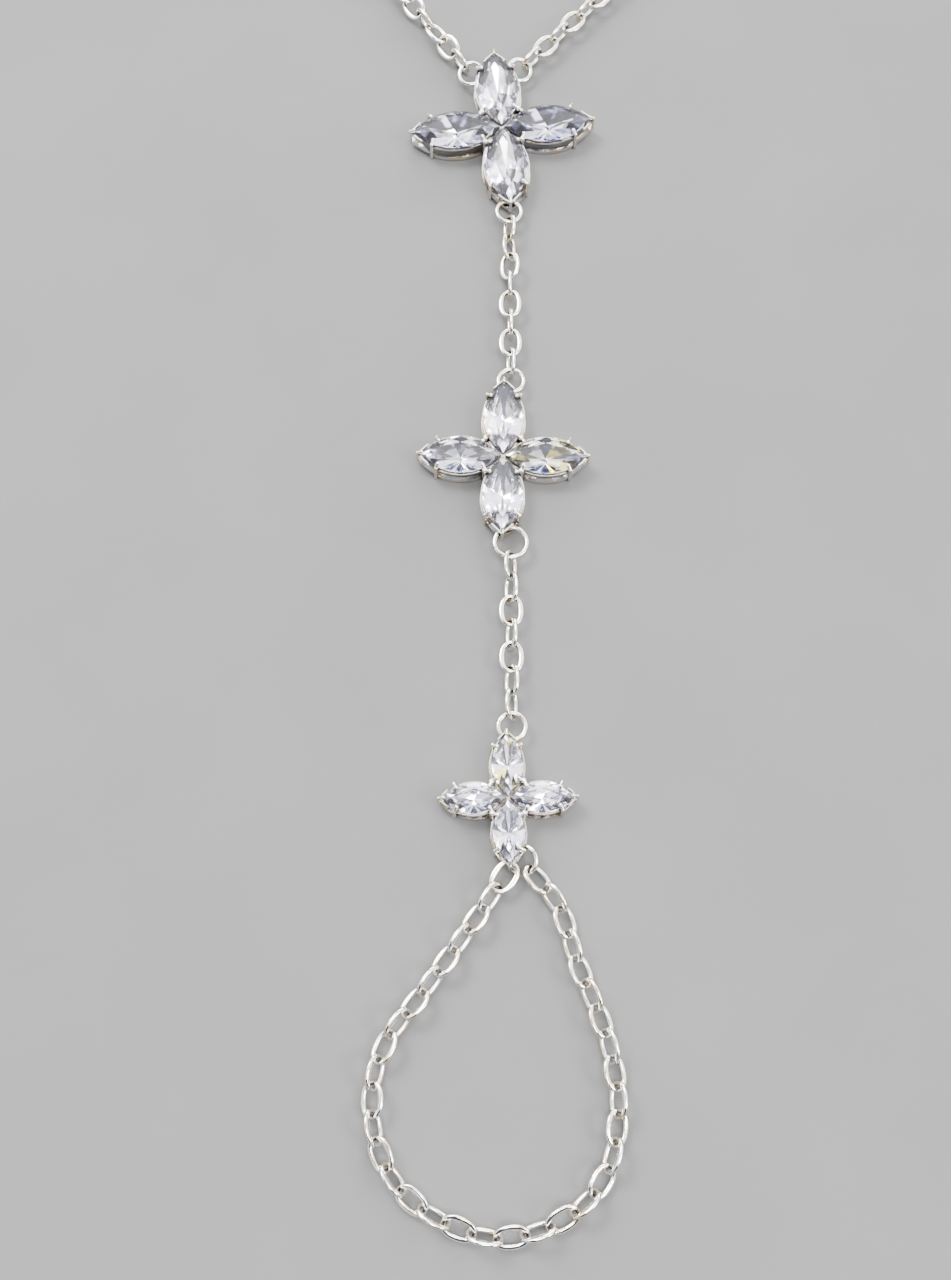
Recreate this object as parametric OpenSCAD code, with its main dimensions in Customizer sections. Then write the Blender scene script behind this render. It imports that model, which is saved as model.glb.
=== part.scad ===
// Hand chain bracelet: three crosses of marquise stones on fine cable chain, with a finger loop
// and a wrist chain. It lies face up on the floor plane, the finger loop towards -Y.

/* [Stones] */
// Length of a stone in the large flower
large_stone_l = 8; // [7:0.1:9]
// Width of a stone in the large flower
large_stone_w = 4; // [3.6:0.1:4.4]
// Length of a stone in the medium flower
medium_stone_l = 6.8; // [6:0.1:7.6]
// Width of a stone in the medium flower
medium_stone_w = 3.4; // [3.1:0.1:3.7]
// Length of a stone in the small flower
small_stone_l = 5; // [4.6:0.1:5.6]
// Width of a stone in the small flower
small_stone_w = 2.5; // [2.3:0.1:2.8]
// Height of the girdle of every stone
girdle_t = 0.1; // [0.06:0.01:0.16]
// Slope of the crown's main facets
crown_angle = 30; // [26:1:35]
// Height of the culets above the floor
culet_z = 0.25; // [0.15:0.01:0.35]

/* [Settings] */
// Height of the large stones' girdle above the floor
large_seat_z = 1.62; // [1.5:0.01:1.9]
// Height of the medium stones' girdle above the floor
medium_seat_z = 1.56; // [1.45:0.01:1.8]
// Height of the small stones' girdle above the floor
small_seat_z = 1.5; // [1.46:0.01:1.7]
// Height of the rail that the flower stands on
rail_h = 0.47; // [0.46:0.01:0.5]
// Height of the raised vee at each outer tip
vee_h = 0.28; // [0.24:0.01:0.3]
// Width of the rails' wall
rail_w = 0.34; // [0.28:0.01:0.4]
// Reach of the rails past the stone's outline
rail_out = 0.18; // [0.16:0.01:0.22]
// Height of the thin rail under the stone's edge
seat_h = 0.2; // [0.16:0.01:0.24]
// Drop from the girdle to the thin rail
seat_drop = 0.1; // [0.08:0.01:0.14]
// Height of the thin vee round the stone's outer tip
tip_vee_h = 0.26; // [0.2:0.01:0.28]
// Radius of a claw's post
claw_r = 0.16; // [0.14:0.01:0.18]
// Radius of the rounded end of a claw
bead_r = 0.17; // [0.15:0.01:0.18]
// Radius of the post at a stone's tip
tip_claw_r = 0.14; // [0.12:0.01:0.16]
// Radius of the rounded end of the claw at a stone's tip
tip_bead_r = 0.15; // [0.13:0.01:0.16]
// Radius of the shared claw's post between two petals
fork_r = 0.24; // [0.2:0.01:0.28]
// Reach of every claw over the stone's edge
claw_in = 0.15; // [0.1:0.01:0.2]
// Gap between metal and stone
stone_gap = 0.06; // [0.05:0.01:0.08]
// Gap between two neighbouring stones near the hub
petal_gap = 0.14; // [0.12:0.01:0.2]

/* [Chain] */
// Diameter of the links' wire
wire_d = 0.36; // [0.34:0.01:0.38]
// Inner length of a link
link_in_l = 2.1; // [2.05:0.01:2.3]
// Inner width of a link
link_in_w = 1.34; // [1.3:0.01:1.45]
// Slack at each link of the upper chain
upper_slack = 0.16; // [0.1:0.01:0.25]
// Slack at each link of the lower chain
lower_slack = 0.12; // [0.1:0.01:0.25]
// Least slack at each link of the loops
loop_slack = 0.14; // [0.1:0.01:0.25]
// Diameter of the jump rings' wire
ring_d = 0.36; // [0.34:0.01:0.38]
// Inner diameter of a jump ring
ring_in_d = 1.8; // [1.75:0.01:1.9]
// Inner diameter of the larger jump ring under the medium flower
wide_ring_in_d = 2.3; // [2.2:0.01:2.5]
// Slack between a jump ring and the link in it
ring_slack = 0.14; // [0.12:0.01:0.2]

/* [Wrist] */
// Radius of the wrist loop
wrist_r = 25; // [22:0.5:30]
// Distance from the large flower's middle to the middle of the wrist loop
wrist_reach = 44; // [40:0.5:50]
// Length of the clasp's barrel
clasp_l = 7; // [5:0.1:10]
// Diameter of the clasp's barrel
clasp_d = 2.5; // [2.3:0.01:2.52]
// Diameter of the wire of the clasp's eyes
eye_d = 0.6; // [0.5:0.01:0.7]
// Inner diameter of the clasp's eyes
eye_in_d = 1.8; // [1.7:0.01:2.2]

/* [Hidden] */
$fn = 48;
eps = 0.01;
upper_links = 8;
lower_links = 7;

// Columns of the table of flowers
TURN = 0;
STONE_L = 1;
STONE_W = 2;
SEAT_Z = 3;
LARGE = 0;
MEDIUM = 1;
SMALL = 2;
FLOWERS = [
    [5, large_stone_l, large_stone_w, large_seat_z],
    [-1, medium_stone_l, medium_stone_w, medium_seat_z],
    [1, small_stone_l, small_stone_w, small_seat_z],
];
RIGHT = 0;
TOP = 90;
LEFT = 180;
BOTTOM = 270;

// A marquise outline is the overlap of two circles, each off_centre from the long axis
function arc_r(l, w) = (l * l + w * w) / (4 * w);
function off_centre(l, w) = arc_r(l, w) - w / 2;
function tip_slope(l, w) = asin(l / 2 / arc_r(l, w));

// Half width of the outline at the distance s from its middle, and the outward normal there
function half_w(l, w, s) = sqrt(pow(arc_r(l, w), 2) - s * s) - off_centre(l, w);
function edge_normal(l, w, s) = [s, off_centre(l, w) + half_w(l, w, s)] / arc_r(l, w);
function edge_point(l, w, s, out) = [s, half_w(l, w, s)] + out * edge_normal(l, w, s);

// Distance from the hub to a stone's inner tip, which keeps petal_gap across the diagonal
function hub_gap(l, w) = (petal_gap + 2 * arc_r(l, w)) / sqrt(2) - off_centre(l, w) - l / 2;
function stone_mid(l, w) = hub_gap(l, w) + l / 2;

claw_share = 0.57;
function claw_s(l) = claw_share * l / 2;
function post_xy(l, w) = edge_point(l, w, claw_s(l), stone_gap + claw_r);

// Place of the shared claw on the diagonal between two petals
function fork_xy(l, w) = let(
    u = stone_mid(l, w),
    off = off_centre(l, w),
    reach = arc_r(l, w) + stone_gap + fork_r,
    d = (u - off + sqrt(pow(u - off, 2) - 2 * (u * u + off * off - reach * reach))) / 2
) d;

// Facet points of a marquise brilliant
sides = 16;
mid_share = 0.5;
star_share = 0.25;
function outline(l, w, i) = let(
    r = arc_r(l, w),
    half = i % sides < sides / 2 ? 1 : -1,
    a = tip_slope(l, w) * (1 - (i % (sides / 2)) / (sides / 4))
) half * [r * sin(a), r * cos(a) - off_centre(l, w)];
function is_tip(i) = i % (sides / 2) == 0;
function facing(l, w, i) = let(
    half = i % sides < sides / 2 ? 1 : -1,
    a = tip_slope(l, w) * (1 - (i % (sides / 2)) / (sides / 4))
) half * (is_tip(i) ? [1, 0] : [sin(a), cos(a)]);
function meet(n1, c1, n2, c2) = let(det = n1.x * n2.y - n1.y * n2.x)
    [c1 * n2.y - c2 * n1.y, n1.x * c2 - n2.x * c1] / det;

crown_share = 0.14;
function crown_h(w) = crown_share * w;
function inset(l, w, i) = crown_h(w) / tan(crown_angle) / (is_tip(i) ? sin(tip_slope(l, w)) : 1);
function crown_line(l, w, i, share) = outline(l, w, i) * facing(l, w, i) - share * inset(l, w, i);
function pavilion_line(l, w, i, share) = outline(l, w, i) * facing(l, w, i) * (1 - share);

function stone_points(l, w, depth) = let(top = girdle_t + crown_h(w)) concat(
    [for (i = [0 : sides - 1]) [outline(l, w, i).x, outline(l, w, i).y, girdle_t]],
    [for (i = [0 : sides - 1]) [outline(l, w, i).x, outline(l, w, i).y, 0]],
    [for (i = [0 : 2 : sides - 2])
        let(p = outline(l, w, i) - inset(l, w, i) * facing(l, w, i)) [p.x, p.y, top]],
    [for (i = [0 : 2 : sides - 2])
        let(p = meet(facing(l, w, i), crown_line(l, w, i, mid_share),
            facing(l, w, i + 2), crown_line(l, w, i + 2, mid_share)))
            [p.x, p.y, girdle_t + mid_share * crown_h(w)]],
    [for (i = [0 : 2 : sides - 2])
        let(p = meet(facing(l, w, i), pavilion_line(l, w, i, star_share),
            facing(l, w, i + 2), pavilion_line(l, w, i + 2, star_share)))
            [p.x, p.y, -star_share * depth]],
    [[0, 0, -depth]]
);

// Numbers of the first point of each ring of points
BASE = sides;
TABLE = 2 * sides;
CROWN = TABLE + sides / 2;
PAVILION = CROWN + sides / 2;
CULET = PAVILION + sides / 2;
STONE_FACES = concat(
    [[for (j = [sides / 2 - 1 : -1 : 0]) TABLE + j]],
    [for (j = [0 : sides / 2 - 1])
        let(next = (j + 1) % (sides / 2)) [TABLE + j, TABLE + next, CROWN + j]],
    [for (j = [0 : sides / 2 - 1]) [TABLE + j, CROWN + j, 2 * j]],
    [for (j = [0 : sides / 2 - 1])
        let(last = (j + sides / 2 - 1) % (sides / 2)) [TABLE + j, 2 * j, CROWN + last]],
    [for (j = [0 : sides / 2 - 1]) [2 * j, CROWN + j, 2 * j + 1]],
    [for (j = [0 : sides / 2 - 1]) [2 * j + 1, CROWN + j, (2 * j + 2) % sides]],
    [for (i = [0 : sides - 1]) [i, (i + 1) % sides, BASE + (i + 1) % sides, BASE + i]],
    [for (j = [0 : sides / 2 - 1]) [BASE + 2 * j, BASE + 2 * j + 1, PAVILION + j]],
    [for (j = [0 : sides / 2 - 1])
        [BASE + 2 * j + 1, BASE + (2 * j + 2) % sides, PAVILION + j]],
    [for (j = [0 : sides / 2 - 1]) [BASE + 2 * j, PAVILION + j, CULET]],
    [for (j = [0 : sides / 2 - 1])
        let(last = (j + sides / 2 - 1) % (sides / 2)) [BASE + 2 * j, CULET, PAVILION + last]]
);

function turned(p, a) = [p.x * cos(a) - p.y * sin(a), p.x * sin(a) + p.y * cos(a)];
function heading(from, to) = atan2(to.y - from.y, to.x - from.x);
function toward(from, to, reach) = from + reach * (to - from) / norm(to - from);

// Bars of a setting that a ring goes round: the tip claw, a shoulder claw and the vee's arm
TIP = 0;
POST = 1;
ARM = 2;
arm_share = 0.8;
function bar_xy(l, w, bar) =
    bar == TIP ? [l / 2 + stone_gap + tip_claw_r, 0] :
    bar == POST ? post_xy(l, w) :
    edge_point(l, w, arm_share * l / 2, rail_out - rail_w / 2);

// Columns of the table of hooks: the flower, petal, side and bar, the ring's middle from that bar
// along and across the petal and above the vee, and the tilt and the lean of the ring's axis
FLOWER = 0;
PETAL = 1;
SIDE = 2;
BAR = 3;
ALONG = 4;
ACROSS = 5;
RISE = 6;
TILT = 7;
LEAN = 8;
WRIST_LEFT = [LARGE, TOP, 1, POST, 0.1, 0.6, 0.26, 12, 150];
WRIST_RIGHT = [LARGE, TOP, -1, POST, 0.1, 0.6, 0.26, 12, 150];
LARGE_BOTTOM = [LARGE, BOTTOM, -1, TIP, 0.44, 0.18, 0.32, 3, -42];
MEDIUM_TOP = [MEDIUM, TOP, -1, TIP, 0.2, 0.59, 0.27, 0, 0];
MEDIUM_BOTTOM = [MEDIUM, BOTTOM, 1, TIP, 0.54, 0.72, 0.3, 0, 0];
SMALL_TOP = [SMALL, TOP, -1, TIP, 0.5, 0.46, 0.28, 0, 0];
FINGER = [SMALL, BOTTOM, 1, ARM, 0.09, 0.53, -0.06, 27, -72];
FINGER_LINK = [SMALL, BOTTOM, -1, TIP, 0.68, 0.42, 0.21, 4, 0];

// Middle of a hooked ring from its flower's hub, and its height
function hook_offset(hook) = let(
    flower = FLOWERS[hook[FLOWER]],
    l = flower[STONE_L],
    w = flower[STONE_W],
    p = bar_xy(l, w, hook[BAR]) + [stone_mid(l, w) + hook[ALONG], hook[ACROSS]]
) turned([p.x, hook[SIDE] * p.y], hook[PETAL] + flower[TURN]);
function hook_z(hook) = rail_h + vee_h + hook[RISE];

// Hub that hangs from a ring at the place start on a chain of the given reach
function hub_below(start, reach, x, hook) = let(
    end = x + hook_offset(hook).x
) [x, start.y - sqrt(pow(reach, 2) - pow(end - start.x, 2)) - hook_offset(hook).y];

ring_step = (ring_in_d + link_in_l) / 2 - ring_slack;
wide_ring_step = (wide_ring_in_d + link_in_l) / 2 - ring_slack;
upper_pitch = link_in_l - upper_slack;
lower_pitch = link_in_l - lower_slack;
upper_reach = 2 * ring_step + (upper_links - 1) * upper_pitch;
lower_reach = wide_ring_step + (lower_links - 1) * lower_pitch + ring_step;

// Places of the hubs across the chain, from the large flower's hub
medium_x = -0.1;
small_x = 0.1;
medium_hub = hub_below(hook_offset(LARGE_BOTTOM), upper_reach, medium_x, MEDIUM_TOP);
small_hub = hub_below(medium_hub + hook_offset(MEDIUM_BOTTOM), lower_reach, small_x, SMALL_TOP);
HUBS = [[0, 0], medium_hub, small_hub];
function hook_at(hook) = HUBS[hook[FLOWER]] + hook_offset(hook);

module in_flower(f) {
    translate([HUBS[f].x, HUBS[f].y, 0])
        rotate(FLOWERS[f][TURN])
            children();
}

module stone(f, petal) {
    l = FLOWERS[f][STONE_L];
    w = FLOWERS[f][STONE_W];
    seat_z = FLOWERS[f][SEAT_Z];
    color("lavender")
        in_flower(f)
            rotate(petal)
                translate([stone_mid(l, w), 0, seat_z])
                    polyhedron(stone_points(l, w, seat_z - culet_z), STONE_FACES);
}

// A solid with a marquise outline that reaches out past the stone
module lens(l, w, out, h) {
    intersection() {
        translate([0, -off_centre(l, w), 0])
            cylinder(r = arc_r(l, w) + out, h = h, $fn = 120);
        translate([0, off_centre(l, w), 0])
            cylinder(r = arc_r(l, w) + out, h = h, $fn = 120);
    }
}

// A marquise wall between two distances along its length
module wall(l, w, out, thick, h, from, to) {
    intersection() {
        difference() {
            lens(l, w, out, h);
            translate([0, 0, -eps])
                lens(l, w, out - thick, h + 2 * eps);
        }
        translate([from, -w, -eps])
            cube([to - from, 2 * w, h + 2 * eps]);
    }
}

// Height of a claw's end of radius r, where its middle is out from the stone's outline
function claw_z(seat_z, r, out) =
    seat_z + girdle_t + (r + stone_gap - out * sin(crown_angle)) / cos(crown_angle);

// A post is a little thinner than its elbow, and a finger than its rounded end
joint_step = 0.01;
module post(at, r, low, top) {
    translate([at.x, at.y, low])
        cylinder(r = r, h = top - low, $fn = 32);
    translate([at.x, at.y, top])
        sphere(r = r + joint_step, $fn = 32);
}

// Finger from a post's elbow to its rounded end over the stone
module finger(from, to, r) {
    reach = to - from;
    translate(from)
        rotate([0, acos(reach.z / norm(reach)), atan2(reach.y, reach.x)])
            cylinder(r = r - joint_step, h = norm(reach), $fn = 32);
    translate(to)
        sphere(r = r, $fn = 32);
}

// Share of a stone's half length where the thin vee round its tip starts
tip_vee_share = 0.8;

module claw(l, w, seat_z) {
    foot = post_xy(l, w);
    end = edge_point(l, w, claw_s(l), -claw_in);
    top = claw_z(seat_z, bead_r, stone_gap + claw_r);
    post(foot, claw_r, 0, top);
    finger([foot.x, foot.y, top], [end.x, end.y, claw_z(seat_z, bead_r, -claw_in)], bead_r);
}

// Claw at the outer tip, from the vee up and over the tip
module tip_claw(l, w, seat_z) {
    out = stone_gap + tip_claw_r;
    top = claw_z(seat_z, tip_bead_r, out);
    post([l / 2 + out, 0], tip_claw_r, rail_h, top);
    finger([l / 2 + out, 0, top],
        [l / 2 - claw_in, 0, claw_z(seat_z, tip_bead_r, -claw_in)], tip_bead_r);
}

// One cup: lower rail, raised vee, seat rail, thin tip vee and its own claws, its length along X
module cup(l, w, seat_z) {
    joint = post_xy(l, w).x;
    far = l / 2 + 1;
    seat_top = seat_z - seat_drop;
    vee_top = seat_z + girdle_t;
    translate([stone_mid(l, w), 0, 0]) {
        wall(l, w, rail_out, rail_w, rail_h, -far, joint + claw_r / 2);
        translate([0, 0, rail_h])
            wall(l, w, rail_out, rail_w, vee_h, joint - claw_r / 2, far);
        translate([0, 0, seat_top - seat_h])
            wall(l, w, rail_out - stone_gap, rail_out - stone_gap, seat_h, -far, joint);
        translate([0, 0, vee_top - tip_vee_h])
            wall(l, w, rail_out, rail_out - stone_gap, tip_vee_h, tip_vee_share * l / 2, far);
        for (side = [0, 1])
            mirror([0, side, 0])
                claw(l, w, seat_z);
        tip_claw(l, w, seat_z);
    }
}

// Shared claw on the diagonal, with a finger over each of its two stones
module fork(l, w, seat_z) {
    at = fork_xy(l, w);
    mid = stone_mid(l, w);
    off = off_centre(l, w);
    aim = [at - mid, at + off] / norm([at - mid, at + off]);
    end = [mid, -off] + (arc_r(l, w) - claw_in) * aim;
    end_z = claw_z(seat_z, bead_r, -claw_in);
    top = claw_z(seat_z, bead_r, stone_gap + fork_r);
    post([at, at], fork_r, 0, top);
    finger([at, at, top], [end.x, end.y, end_z], bead_r);
    finger([at, at, top], [end.y, end.x, end_z], bead_r);
}

module setting(f) {
    l = FLOWERS[f][STONE_L];
    w = FLOWERS[f][STONE_W];
    color("silver")
        in_flower(f)
            for (petal = [RIGHT, TOP, LEFT, BOTTOM])
                rotate(petal) {
                    cup(l, w, FLOWERS[f][SEAT_Z]);
                    fork(l, w, FLOWERS[f][SEAT_Z]);
                }
}

// Round-ended link of round wire in the XY plane, its length along X
link_a = (link_in_l + wire_d) / 2;
link_b = (link_in_w + wire_d) / 2;
side_half = link_a - link_b;
module link() {
    for (side = [0, 1]) {
        mirror([side, 0, 0])
            translate([side_half, 0, 0])
                rotate(-90)
                    rotate_extrude(angle = 180)
                        translate([link_b, 0])
                            circle(d = wire_d, $fn = 24);
        mirror([0, side, 0])
            translate([-side_half, link_b, 0])
                rotate([0, 90, 0])
                    cylinder(d = wire_d, h = 2 * side_half, $fn = 24);
    }
}

// A link on a chain: its middle, heading, roll about the chain and dip
module link_at(p, z, turn, roll, dip = 0) {
    translate([p.x, p.y, z])
        rotate([roll, dip, turn])
            link();
}

module ring(in_d) {
    color("silver")
        rotate_extrude()
            translate([(in_d + ring_d) / 2, 0])
                circle(d = ring_d, $fn = 24);
}

module hooked_ring(hook, in_d) {
    p = hook_at(hook);
    lean = FLOWERS[hook[FLOWER]][TURN] + hook[PETAL] + hook[SIDE] * hook[LEAN];
    translate([p.x, p.y, hook_z(hook)])
        rotate([0, hook[TILT], lean])
            ring(in_d);
}

// A chain whose edgewise links stand on the floor
chain_z = wire_d / 2 + link_b;

// Straight chain between two rings, with a roll for each link
module straight_chain(from, to, first_step, pitch, rolls) {
    color("silver")
        for (i = [0 : len(rolls) - 1])
            link_at(toward(from, to, first_step + i * pitch), chain_z, heading(from, to), rolls[i]);
}

UPPER_ROLLS = [60, -55, 30, 90, 6, 84, 0, 72];
LOWER_ROLLS = [-60, 60, 0, 66, 0, 58, -62];
module upper_chain() {
    straight_chain(hook_at(LARGE_BOTTOM), hook_at(MEDIUM_TOP), ring_step, upper_pitch, UPPER_ROLLS);
}
module lower_chain() {
    straight_chain(hook_at(MEDIUM_BOTTOM), hook_at(SMALL_TOP), wide_ring_step, lower_pitch,
        LOWER_ROLLS);
}

// Route of the finger loop from the small flower's hub, from its first link to its ring
FINGER_ROUTE = [[-3, -9.9], [-6.4, -14.6], [-9.1, -18.3], [-10, -22.2], [-9.1, -26.4],
    [-6.3, -29.6], [-1.4, -31.5], [3.3, -30.5], [6.6, -27.6], [7.8, -22.9], [7.1, -17.8],
    [5, -12.2], [3.9, -8.5]];
function curve(a, b, c, d, t) =
    (2 * b + (c - a) * t + (2 * a - 5 * b + 4 * c - d) * pow(t, 2)
        + (3 * b - a - 3 * c + d) * pow(t, 3)) / 2;
function path(points, steps) = let(n = len(points) - 1) [
    for (i = [0 : n - 1], k = [0 : steps - 1])
        curve(points[max(i - 1, 0)], points[i], points[i + 1], points[min(i + 2, n)], k / steps),
    points[n]
];
function lengths(line) = [
    for (i = 0, sum = 0; i < len(line); i = i + 1,
        sum = i < len(line) ? sum + norm(line[i] - line[i - 1]) : sum) sum
];

finger_start = hook_at(FINGER_LINK);
finger_points = [for (p = FINGER_ROUTE) small_hub + p];
finger_end = toward(hook_at(FINGER), finger_points[len(finger_points) - 1], ring_step);
finger_line = path(concat([finger_start], finger_points, [finger_end]), 8);
finger_lengths = lengths(finger_line);
finger_l = finger_lengths[len(finger_line) - 1];
finger_x = [for (i = [0 : len(finger_line) - 1]) [finger_lengths[i], finger_line[i].x]];
finger_y = [for (i = [0 : len(finger_line) - 1]) [finger_lengths[i], finger_line[i].y]];
function finger_at(d) = [lookup(d, finger_x), lookup(d, finger_y)];

// Links of the finger loop lean one way and the other, with an odd number of them
finger_links = 2 * ceil((finger_l / (link_in_l - loop_slack)) / 2) + 1;
finger_pitch = finger_l / (finger_links - 1);
odd_roll = 34;
even_roll = -56;
finger_z = wire_d / 2 + link_b * sin(-even_roll);
function finger_turn(d) = heading(finger_at(d - link_a / 2), finger_at(d + link_a / 2));
module finger_loop() {
    color("silver") {
        link_at(finger_start, hook_z(FINGER_LINK), finger_turn(0), 0, FINGER_LINK[TILT]);
        for (i = [1 : finger_links - 1])
            link_at(finger_at(i * finger_pitch), finger_z, finger_turn(i * finger_pitch),
                i % 2 == 0 ? odd_roll : even_roll);
    }
}

// Wrist loop: straight from each ring to a circle, then round it to the clasp
wrist_axis = 88;
wrist_middle = wrist_reach * [cos(wrist_axis), sin(wrist_axis)];
eye_step = (ring_in_d + eye_in_d) / 2 - ring_slack;
clasp_half = clasp_l / 2 + eye_in_d / 2 + eye_step;
clasp_turn = asin(clasp_half / wrist_r);
clasp_y = wrist_r * cos(clasp_turn);

// Side is 1 on the left and -1 on the right, and d is the distance from the hooked ring
function strand_far(hook) = norm(wrist_middle - hook_at(hook));
function straight_l(hook) = sqrt(pow(strand_far(hook), 2) - pow(wrist_r, 2));
function straight_turn(hook) =
    heading(hook_at(hook), wrist_middle) + hook[SIDE] * asin(wrist_r / strand_far(hook));
function arc_start(hook) = straight_turn(hook) + hook[SIDE] * 90;
function arc_sweep(hook) = (arc_start(hook) - 90) * hook[SIDE] - clasp_turn;
function strand_l(hook) = straight_l(hook) + arc_sweep(hook) * PI / 180 * wrist_r;
function strand_turn(hook, d) =
    straight_turn(hook) - hook[SIDE] * max(0, d - straight_l(hook)) / wrist_r * 180 / PI;
function strand_at(hook, d) = d < straight_l(hook)
    ? hook_at(hook) + d * [cos(straight_turn(hook)), sin(straight_turn(hook))]
    : wrist_middle + wrist_r * hook[SIDE]
        * [-sin(strand_turn(hook, d)), cos(strand_turn(hook, d))];

// Links roll by an even step, about roll_left or roll_right, from the hooked ring to the clasp ring
edge_roll = 88;
roll_left = 60;
roll_right = 88;
function even_step(n, step) =
    (180 * round(((n - 1) * step + edge_roll) / 180) - edge_roll) / (n - 1);
module wrist_strand(hook, step) {
    l = strand_l(hook) - 2 * ring_step;
    links = ceil(l / (link_in_l - loop_slack)) + 1;
    color("silver")
        for (i = [0 : links - 1]) {
            d = ring_step + i * l / (links - 1);
            link_at(strand_at(hook, d), chain_z, strand_turn(hook, d),
                edge_roll + i * even_step(links, step));
        }
}

stand_z = ring_in_d / 2 + ring_d;
module clasp_ring(side) {
    translate([wrist_middle.x + side * clasp_half, wrist_middle.y + clasp_y, stand_z])
        rotate([90, 0, -side * clasp_turn / 2])
            ring(ring_in_d);
}

// Plain barrel with an eye at each end
module clasp() {
    color("silver")
        translate([wrist_middle.x, wrist_middle.y + clasp_y, stand_z]) {
            rotate([0, 90, 0])
                cylinder(d = clasp_d, h = clasp_l, center = true);
            for (side = [-1, 1])
                translate([side * (clasp_l + eye_in_d) / 2, 0, 0])
                    rotate_extrude()
                        translate([(eye_in_d + eye_d) / 2, 0])
                            circle(d = eye_d, $fn = 24);
        }
}

module setting_large() setting(LARGE);
module setting_medium() setting(MEDIUM);
module setting_small() setting(SMALL);
module stone_large_top() stone(LARGE, TOP);
module stone_large_right() stone(LARGE, RIGHT);
module stone_large_bottom() stone(LARGE, BOTTOM);
module stone_large_left() stone(LARGE, LEFT);
module stone_medium_top() stone(MEDIUM, TOP);
module stone_medium_right() stone(MEDIUM, RIGHT);
module stone_medium_bottom() stone(MEDIUM, BOTTOM);
module stone_medium_left() stone(MEDIUM, LEFT);
module stone_small_top() stone(SMALL, TOP);
module stone_small_right() stone(SMALL, RIGHT);
module stone_small_bottom() stone(SMALL, BOTTOM);
module stone_small_left() stone(SMALL, LEFT);
module wrist_chain_left() wrist_strand(WRIST_LEFT, roll_left);
module wrist_chain_right() wrist_strand(WRIST_RIGHT, roll_right);
module wrist_ring_left() hooked_ring(WRIST_LEFT, ring_in_d);
module wrist_ring_right() hooked_ring(WRIST_RIGHT, ring_in_d);
module large_ring_bottom() hooked_ring(LARGE_BOTTOM, ring_in_d);
module medium_ring_top() hooked_ring(MEDIUM_TOP, ring_in_d);
module medium_ring_bottom() hooked_ring(MEDIUM_BOTTOM, wide_ring_in_d);
module small_ring_top() hooked_ring(SMALL_TOP, ring_in_d);
module finger_ring() hooked_ring(FINGER, ring_in_d);
module clasp_ring_left() clasp_ring(-1);
module clasp_ring_right() clasp_ring(1);

setting_large();
setting_medium();
setting_small();
stone_large_top();
stone_large_right();
stone_large_bottom();
stone_large_left();
stone_medium_top();
stone_medium_right();
stone_medium_bottom();
stone_medium_left();
stone_small_top();
stone_small_right();
stone_small_bottom();
stone_small_left();
wrist_ring_left();
wrist_ring_right();
large_ring_bottom();
medium_ring_top();
medium_ring_bottom();
small_ring_top();
finger_ring();
clasp_ring_left();
clasp_ring_right();
upper_chain();
lower_chain();
finger_loop();
wrist_chain_left();
wrist_chain_right();
clasp();
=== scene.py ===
import math

import bmesh
import bpy
import numpy as np
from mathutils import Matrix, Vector


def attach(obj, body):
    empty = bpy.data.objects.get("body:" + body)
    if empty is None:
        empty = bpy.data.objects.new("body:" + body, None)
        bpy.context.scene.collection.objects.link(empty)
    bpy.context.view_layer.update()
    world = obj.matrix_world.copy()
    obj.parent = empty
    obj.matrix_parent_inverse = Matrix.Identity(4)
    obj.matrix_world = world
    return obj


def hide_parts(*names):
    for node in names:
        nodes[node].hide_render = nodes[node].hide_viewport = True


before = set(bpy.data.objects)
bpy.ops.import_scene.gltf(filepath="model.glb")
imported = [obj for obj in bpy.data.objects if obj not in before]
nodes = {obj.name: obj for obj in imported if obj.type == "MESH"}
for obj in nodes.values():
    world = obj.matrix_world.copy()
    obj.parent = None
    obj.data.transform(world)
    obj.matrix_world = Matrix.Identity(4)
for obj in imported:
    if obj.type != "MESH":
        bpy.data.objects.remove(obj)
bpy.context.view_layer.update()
MM = 0.001

# The camera stands over the finger loop and looks a little towards the wrist
CAMERA_AT = (-2.41 * MM, -90.72 * MM, 114.07 * MM)
CAMERA_TILT = math.radians(20)
CAMERA_NEAR = 2 * MM
IMAGE_H = 1280
FOCAL_PX = 1500


def add_camera():
    data = bpy.data.cameras.new("camera")
    data.sensor_fit = "VERTICAL"
    data.angle_y = 2 * math.atan(IMAGE_H / 2 / FOCAL_PX)
    data.clip_start = CAMERA_NEAR
    camera = bpy.data.objects.new("camera", data)
    camera.location = CAMERA_AT
    camera.rotation_euler = (CAMERA_TILT, 0, 0)
    bpy.context.scene.collection.objects.link(camera)
    bpy.context.scene.camera = camera


# Colour sockets of a Mix node
MIX_A = 6
MIX_B = 7
MIX_RESULT = 2


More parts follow.
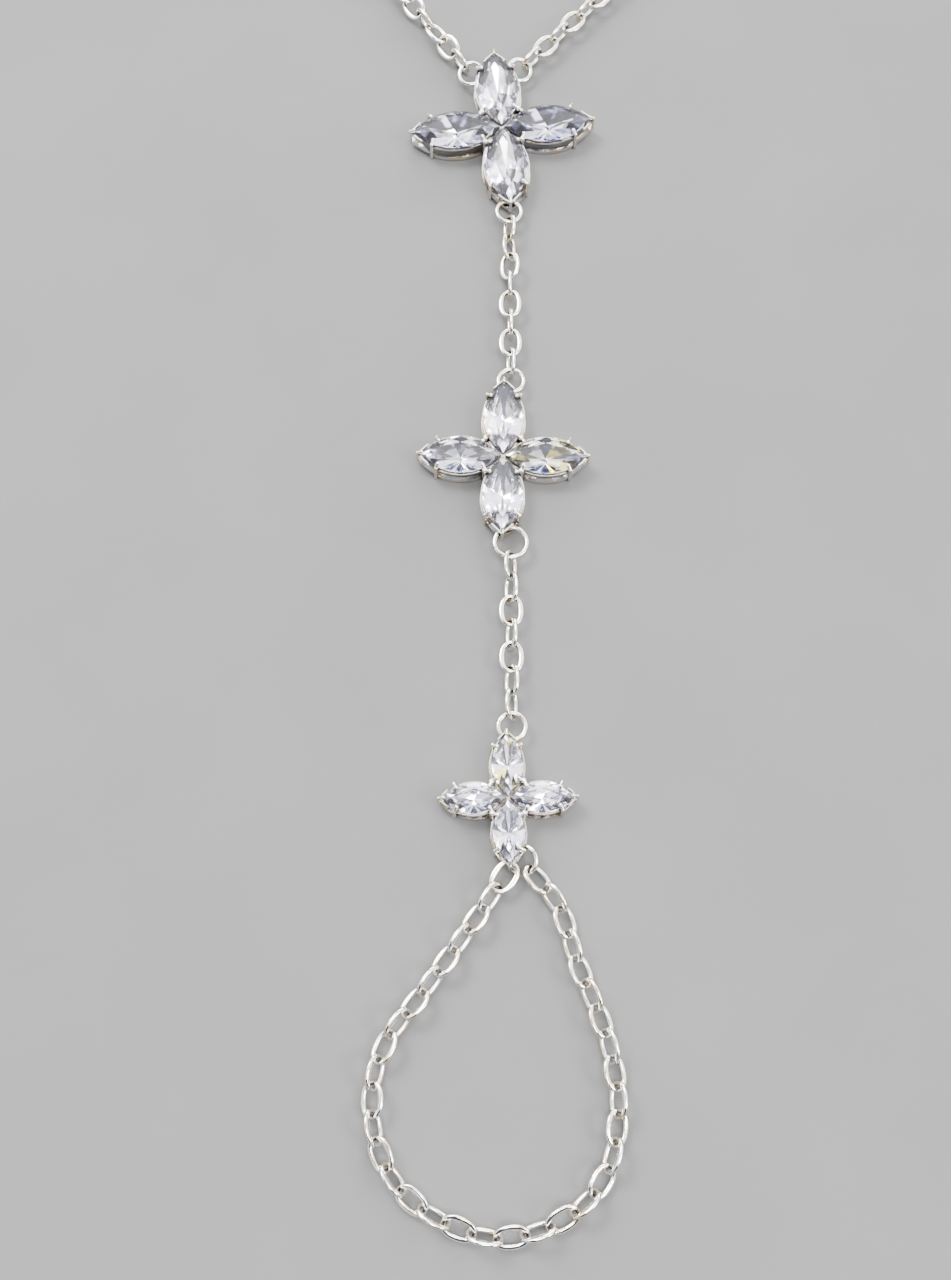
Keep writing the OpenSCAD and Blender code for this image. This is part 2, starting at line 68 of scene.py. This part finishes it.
class Nodes:
    """Short calls for building the node tree of a material or a world"""

    def __init__(self, owner, out):
        owner.use_nodes = True
        self.tree = owner.node_tree
        self.tree.nodes.clear()
        self.out = self.add(out)

    def add(self, kind, **inputs):
        node = self.tree.nodes.new(kind)
        for key, value in inputs.items():
            node.inputs[key.replace("_", " ")].default_value = value
        return node

    def link(self, a, b):
        self.tree.links.new(a, b)

    def finish(self, shader_output):
        self.link(shader_output, self.out.inputs["Surface"])

    def noise(self, vector, scale, detail):
        noise = self.add("ShaderNodeTexNoise", Scale=scale, Detail=detail)
        self.link(vector, noise.inputs["Vector"])
        return noise.outputs["Fac"]

    def mottle(self, size_mm, detail=4.0):
        coords = self.add("ShaderNodeTexCoord")
        return self.noise(coords.outputs["Object"], 1 / (size_mm * MM), detail)

    def ramp(self, source, stops):
        ramp = self.add("ShaderNodeValToRGB")
        elements = ramp.color_ramp.elements
        while len(elements) < len(stops):
            elements.new(0.5)
        for element, (place, colour) in zip(elements, stops):
            element.position = place
            element.color = (*colour, 1)
        self.link(source, ramp.inputs["Fac"])
        return ramp.outputs["Color"]

    def span(self, source, low, high):
        node = self.add("ShaderNodeMapRange", To_Min=low, To_Max=high)
        self.link(source, node.inputs["Value"])
        return node.outputs["Result"]

    def mix(self, blend):
        node = self.add("ShaderNodeMix", Factor=1.0)
        node.data_type = "RGBA"
        node.blend_type = blend
        return node

    def multiply(self, a, b):
        node = self.mix("MULTIPLY")
        self.link(a, node.inputs[MIX_A])
        self.link(b, node.inputs[MIX_B])
        return node.outputs[MIX_RESULT]

    def bump(self, height, depth_mm):
        bump = self.add("ShaderNodeBump", Strength=1.0, Distance=depth_mm * MM)
        self.link(height, bump.inputs["Height"])
        return bump.outputs["Normal"]


def new_material(name, **inputs):
    """A material, the calls for its nodes, and its shader"""
    material = bpy.data.materials.new(name)
    n = Nodes(material, "ShaderNodeOutputMaterial")
    shader = n.add("ShaderNodeBsdfPrincipled", **inputs)
    n.finish(shader.outputs["BSDF"])
    return material, n, shader


def silver(name, rough):
    """Polished metal, dark in its crevices, with a faint brassy tarnish and fine handling marks"""
    material, n, shader = new_material(name, Metallic=1.0)
    crevice = n.add("ShaderNodeAmbientOcclusion", Distance=0.4 * MM)
    depth = n.ramp(crevice.outputs["AO"], [
        (0.3, (0.08, 0.065, 0.05)),
        (0.55, (0.42, 0.39, 0.36)),
        (0.8, (0.89, 0.875, 0.855)),
    ])
    tarnish = n.ramp(n.mottle(1.4, 2.0), [
        (0.4, (0.98, 0.9, 0.76)),
        (0.55, (1.0, 1.0, 1.0)),
    ])
    n.link(n.multiply(depth, tarnish), shader.inputs["Base Color"])
    n.link(n.span(n.mottle(0.5), rough - 0.05, rough + 0.07), shader.inputs["Roughness"])
    n.link(n.bump(n.mottle(0.22), 0.012), shader.inputs["Normal"])
    return material


def crystal(name):
    """Clear stone with a faint milky veil"""
    material, n, shader = new_material(name, Roughness=0.02, IOR=1.6, Transmission_Weight=0.97)
    colour = n.ramp(n.mottle(1.6, 3.0), [
        (0.35, (0.93, 0.92, 1.0)),
        (0.6, (1.0, 1.0, 1.0)),
    ])
    n.link(colour, shader.inputs["Base Color"])
    return material


def foil(name, tones, rough):
    """Silvered back of a stone, in tones that change over about a millimetre"""
    material, n, shader = new_material(name, Metallic=1.0)
    n.link(n.ramp(n.mottle(0.9, 3.0), tones), shader.inputs["Base Color"])
    n.link(n.span(n.mottle(0.8), rough - 0.05, rough + 0.1), shader.inputs["Roughness"])
    return material


def pale_floor(name):
    material, n, shader = new_material(name, Roughness=0.65)
    colour = n.ramp(n.mottle(18.0), [
        (0.3, (0.16, 0.159, 0.158)),
        (0.7, (0.172, 0.171, 0.17)),
    ])
    n.link(colour, shader.inputs["Base Color"])
    return material


SMOOTH_WIRE = math.radians(50)
SMOOTH_CASTING = math.radians(38)


def smooth(mesh, angle):
    mesh.polygons.foreach_set("use_smooth", [True] * len(mesh.polygons))
    mesh.set_sharp_from_angle(angle=angle)
    mesh.update()


def new_object(name, vertices, faces, material):
    mesh = bpy.data.meshes.new(name)
    mesh.from_pydata([tuple(v) for v in vertices], [], faces)
    mesh.validate()
    mesh.materials.append(material)
    smooth(mesh, SMOOTH_WIRE)
    piece = bpy.data.objects.new(name, mesh)
    bpy.context.scene.collection.objects.link(piece)
    return piece


SAME_CORNER = 0.0005 * MM


def solids_of(name):
    """The corners of each loose solid of a CAD node"""
    work = bmesh.new()
    work.from_mesh(nodes[name].data)
    bmesh.ops.remove_doubles(work, verts=work.verts, dist=SAME_CORNER)
    seen = set()
    found = []
    for start in work.verts:
        if start in seen:
            continue
        seen.add(start)
        stack = [start]
        group = []
        while stack:
            v = stack.pop()
            group.append(tuple(v.co))
            for edge in v.link_edges:
                other = edge.other_vert(v)
                if other not in seen:
                    seen.add(other)
                    stack.append(other)
        found.append(np.array(group))
    work.free()
    return found


FRAME_ROUNDS = 3


def wire_frame(points):
    """Middle of a flat ring or link, and its long, short and upright axes"""
    middle = points.mean(0)
    for _ in range(FRAME_ROUNDS):
        _, _, axes = np.linalg.svd(points - middle, full_matrices=False)
        local = (points - middle) @ axes.T
        middle = middle + ((local.max(0) + local.min(0)) / 2) @ axes
    if axes[2][2] < 0:
        axes[2] = -axes[2]
    axes[1] = np.cross(axes[2], axes[0])
    return middle, axes


WIRE_SIDES = 12
WIRE_ROUND = 0.8


def squarer(wave, power):
    """A sine or cosine that draws a circle at power 1 and a squarer shape below it"""
    return np.sign(wave) * np.abs(wave) ** power


def swept_wire(middle, axes, path, widths, thick, closed):
    """Wire along a flat path, as wide in the path's plane as widths says"""
    count = len(path)
    ahead = np.roll(path, -1, axis=0) - np.roll(path, 1, axis=0)
    if not closed:
        ahead[0] = path[1] - path[0]
        ahead[-1] = path[-1] - path[-2]
    ahead /= np.linalg.norm(ahead, axis=1)[:, None]
    outward = np.stack([ahead[:, 1], -ahead[:, 0]], axis=1)
    vertices = []
    for k in range(count):
        for side in range(WIRE_SIDES):
            a = 2 * math.pi * side / WIRE_SIDES
            flat = path[k] + squarer(math.cos(a), WIRE_ROUND) * widths[k] / 2 * outward[k]
            up = squarer(math.sin(a), WIRE_ROUND) * thick / 2
            vertices.append(middle + flat[0] * axes[0] + flat[1] * axes[1] + up * axes[2])
    faces = []
    for k in range(count if closed else count - 1):
        here = k * WIRE_SIDES
        there = (k + 1) % count * WIRE_SIDES
        for side in range(WIRE_SIDES):
            after = (side + 1) % WIRE_SIDES
            faces.append((here + side, here + after, there + after, there + side))
    if not closed:
        last = (count - 1) * WIRE_SIDES
        faces.append(tuple(range(WIRE_SIDES))[::-1])
        faces.append(tuple(last + side for side in range(WIRE_SIDES)))
    return vertices, faces


def stand_for(piece, name):
    """The piece takes the place of the CAD node"""
    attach(piece, "root")
    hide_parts(name)


# Stamped cable links: the wire is pressed wider on the two long sides
LINK_L = 2.76 * MM
LINK_W = 2.06 * MM
END_W = 0.33 * MM
SIDE_W = 0.47 * MM
LINK_T = 0.34 * MM
LINK_STEPS = 40
LINK_ROUND = 0.86


def link_shape(middle, axes):
    turns = np.linspace(0, 2 * math.pi, LINK_STEPS, endpoint=False)
    path = np.stack([
        (LINK_L - END_W) / 2 * squarer(np.cos(turns), LINK_ROUND),
        (LINK_W - SIDE_W) / 2 * squarer(np.sin(turns), LINK_ROUND),
    ], axis=1)
    widths = END_W + (SIDE_W - END_W) * np.sin(turns) ** 2
    return swept_wire(middle, axes, path, widths, LINK_T, closed=True)


CHAINS = ("upper_chain", "lower_chain", "finger_loop", "wrist_chain_left", "wrist_chain_right")


def add_chain(name, metal):
    vertices = []
    faces = []
    for points in solids_of(name):
        link_vertices, link_faces = link_shape(*wire_frame(points))
        faces += [tuple(i + len(vertices) for i in face) for face in link_faces]
        vertices += link_vertices
    stand_for(new_object(name + "_links", vertices, faces, metal), name)


# Turn from +X, in degrees, of the cut where each jump ring was closed
RING_CUTS = {
    "wrist_ring_left": 40,
    "wrist_ring_right": 215,
    "large_ring_bottom": 190,
    "medium_ring_top": 20,
    "medium_ring_bottom": 200,
    "small_ring_top": 160,
    "finger_ring": 30,
    "clasp_ring_left": 90,
    "clasp_ring_right": 90,
}
RING_STEPS = 56
RING_CUT = 0.05 * MM
RING_BOLDER = 1.04


def add_ring(name, metal, cut_turn):
    """Jump ring of round wire, a little bolder than the CAD one, with its fine cut"""
    points = solids_of(name)[0]
    middle, axes = wire_frame(points)
    local = (points - middle) @ axes.T
    wire = 2 * np.abs(local[:, 2]).max()
    radius = np.hypot(local[:, 0], local[:, 1]).max() - wire / 2
    wire *= RING_BOLDER
    toward = axes[:2] @ (math.cos(cut_turn), math.sin(cut_turn), 0)
    start = math.atan2(toward[1], toward[0])
    half_cut = RING_CUT / 2 / radius
    turns = np.linspace(start + half_cut, start + 2 * math.pi - half_cut, RING_STEPS)
    path = radius * np.stack([np.cos(turns), np.sin(turns)], axis=1)
    vertices, faces = swept_wire(middle, axes, path, np.full(RING_STEPS, wire), wire, closed=False)
    stand_for(new_object(name + "_wire", vertices, faces, metal), name)


# Material slots of a stone: clear crown, bright silvering, silvering with a painted dark reflection,
# and silvering with a painted yellow glint
CROWN, BRIGHT, PAINTED_DARK_REFLECTION, PAINTED_GLINT = range(4)

# Facets whose normal points down more steeply than this are silvered, and the rest are clear
CROWN_FROM = -0.2

# Silvered facets get a painted yellow glint where the cosine between their normal and this direction is
# enough
PAINTED_GLINTS = {
    "stone_medium_right": Vector((0.45, 0.5, -0.74)).normalized(),
    "stone_small_top": Vector((-0.5, -0.45, -0.74)).normalized(),
}
GLINT_COSINE = 0.93

# Limits of the normal of a facet that gets the painted dark reflection, and how near the culet such a
# facet ends
PAINTED_DARK_MIN_Y = 0.1
PAINTED_DARK_MAX_X = 0.2
CULET_NEAR = 0.001 * MM


def is_painted_dark_reflection(mesh, polygon, culet_z):
    """Whether a facet is in the middle of the pavilion's side towards the wrist, where a dark
    reflection is painted
    """
    normal = polygon.normal
    ends_at_culet = any(mesh.vertices[i].co.z < culet_z + CULET_NEAR for i in polygon.vertices)
    return normal.y > PAINTED_DARK_MIN_Y and abs(normal.x) < PAINTED_DARK_MAX_X and ends_at_culet


def dress_stone(name, materials):
    """Clear crown over a silvered pavilion. Some facets of the larger stones that lie across are
    silvered dark slate as a painted dark reflection, and some facets of two stones carry a painted
    yellow glint
    """
    mesh = nodes[name].data
    culet_z = min(v.co.z for v in mesh.vertices)
    mesh.materials.clear()
    for material in materials:
        mesh.materials.append(material)
    across = name.endswith(("left", "right")) and "small" not in name
    for polygon in mesh.polygons:
        polygon.use_smooth = False
        if polygon.normal.z > CROWN_FROM:
            polygon.material_index = CROWN
        elif name in PAINTED_GLINTS and polygon.normal.dot(PAINTED_GLINTS[name]) > GLINT_COSINE:
            polygon.material_index = PAINTED_GLINT
        elif across and is_painted_dark_reflection(mesh, polygon, culet_z):
            polygon.material_index = PAINTED_DARK_REFLECTION
        else:
            polygon.material_index = BRIGHT


AIM = Vector((0, -45, 0)) * MM


def add_light(name, from_aim_mm, size_mm, power):
    """Soft panel that faces the middle of the bracelet"""
    data = bpy.data.lights.new(name, "AREA")
    data.shape = "RECTANGLE"
    data.size = size_mm[0] * MM
    data.size_y = size_mm[1] * MM
    data.energy = power
    light = bpy.data.objects.new(name, data)
    offset = Vector(from_aim_mm) * MM
    light.location = AIM + offset
    light.rotation_euler = (-offset).to_track_quat("-Z", "Y").to_euler()
    bpy.context.scene.collection.objects.link(light)


ROOM_LIGHT = 2.6
ROOM_SCALE = 2.6
ROOM_MOTTLE = 2.0
AWAY_FROM_CAMERA = (0.1, 0.86, -0.48)

# Heights, as the sine of the angle above the floor, between which the backdrop turns into the room
BACKDROP_TO = 0.2
ROOM_FROM = 0.4
BACKDROP = (0.33, 0.33, 0.335)


def studio_room():
    """Plain pale backdrop, with a bright room above it that is dark only behind the camera"""
    world = bpy.data.worlds.new("studio")
    n = Nodes(world, "ShaderNodeOutputWorld")
    direction = n.add("ShaderNodeTexCoord").outputs["Generated"]
    away = n.add("ShaderNodeVectorMath")
    away.operation = "DOT_PRODUCT"
    away.inputs[1].default_value = AWAY_FROM_CAMERA
    n.link(direction, away.inputs[0])
    light = n.add("ShaderNodeMath")
    light.operation = "MULTIPLY_ADD"
    light.inputs[1].default_value = ROOM_MOTTLE
    n.link(n.noise(direction, ROOM_SCALE, 1.0), light.inputs[0])
    n.link(away.outputs["Value"], light.inputs[2])
    room = n.ramp(light.outputs[0], [
        (0.4, (0.03, 0.035, 0.05)),
        (0.7, (1.0, 1.0, 1.0)),
    ])
    height = n.add("ShaderNodeSeparateXYZ")
    n.link(direction, height.inputs[0])
    up = n.add("ShaderNodeMapRange", From_Min=BACKDROP_TO, From_Max=ROOM_FROM)
    n.link(height.outputs["Z"], up.inputs["Value"])
    whole = n.mix("MIX")
    whole.inputs[MIX_A].default_value = (*BACKDROP, 1)
    n.link(up.outputs["Result"], whole.inputs["Factor"])
    n.link(room, whole.inputs[MIX_B])
    background = n.add("ShaderNodeBackground", Strength=ROOM_LIGHT)
    n.link(whole.outputs[MIX_RESULT], background.inputs["Color"])
    n.finish(background.outputs["Background"])
    return world


add_camera()

metal = silver("polished_silver", 0.13)
stone_materials = [
    crystal("clear_stone"),
    foil("silvered_back", [
        (0.38, (0.84, 0.84, 0.99)),
        (0.52, (1.0, 0.99, 1.0)),
    ], 0.07),
    # Painted dark reflection: near-black to grey-blue silvering that stands in for the stone reflecting
    # dark surroundings
    foil("painted_dark_reflection_back", [
        (0.4, (0.05, 0.055, 0.12)),
        (0.6, (0.42, 0.43, 0.54)),
    ], 0.08),
    # Painted glint: yellow silvering that stands in for a yellow glint of light in the stone
    foil("painted_glint_back", [
        (0.4, (1.0, 0.88, 0.2)),
        (0.6, (1.0, 0.97, 0.45)),
    ], 0.08),
]

for name, node in nodes.items():
    if name.startswith("stone"):
        dress_stone(name, stone_materials)
    elif name.startswith("setting") or name == "clasp":
        node.data.materials.clear()
        node.data.materials.append(metal)
        smooth(node.data, SMOOTH_CASTING)

for name in CHAINS:
    add_chain(name, metal)

for name, turn in RING_CUTS.items():
    add_ring(name, metal, math.radians(turn))

FLOOR_REACH = 2.0
floor_corners = [(x * FLOOR_REACH, y * FLOOR_REACH, 0) for x, y in ((-1, -1), (1, -1), (1, 1), (-1, 1))]
floor = new_object("floor", floor_corners, [(0, 1, 2, 3)], pale_floor("pale_floor"))

bpy.context.scene.world = studio_room()

add_light("key", (-480, 495, 780), (450, 360), 9.0)
add_light("fill", (660, -285, 600), (360, 360), 5.4)
add_light("rim", (120, 1035, 330), (780, 180), 7.2)
add_light("overhead", (60, -195, 960), (480, 390), 7.2)

bpy.context.scene.view_settings.look = "AgX - Medium High Contrast"
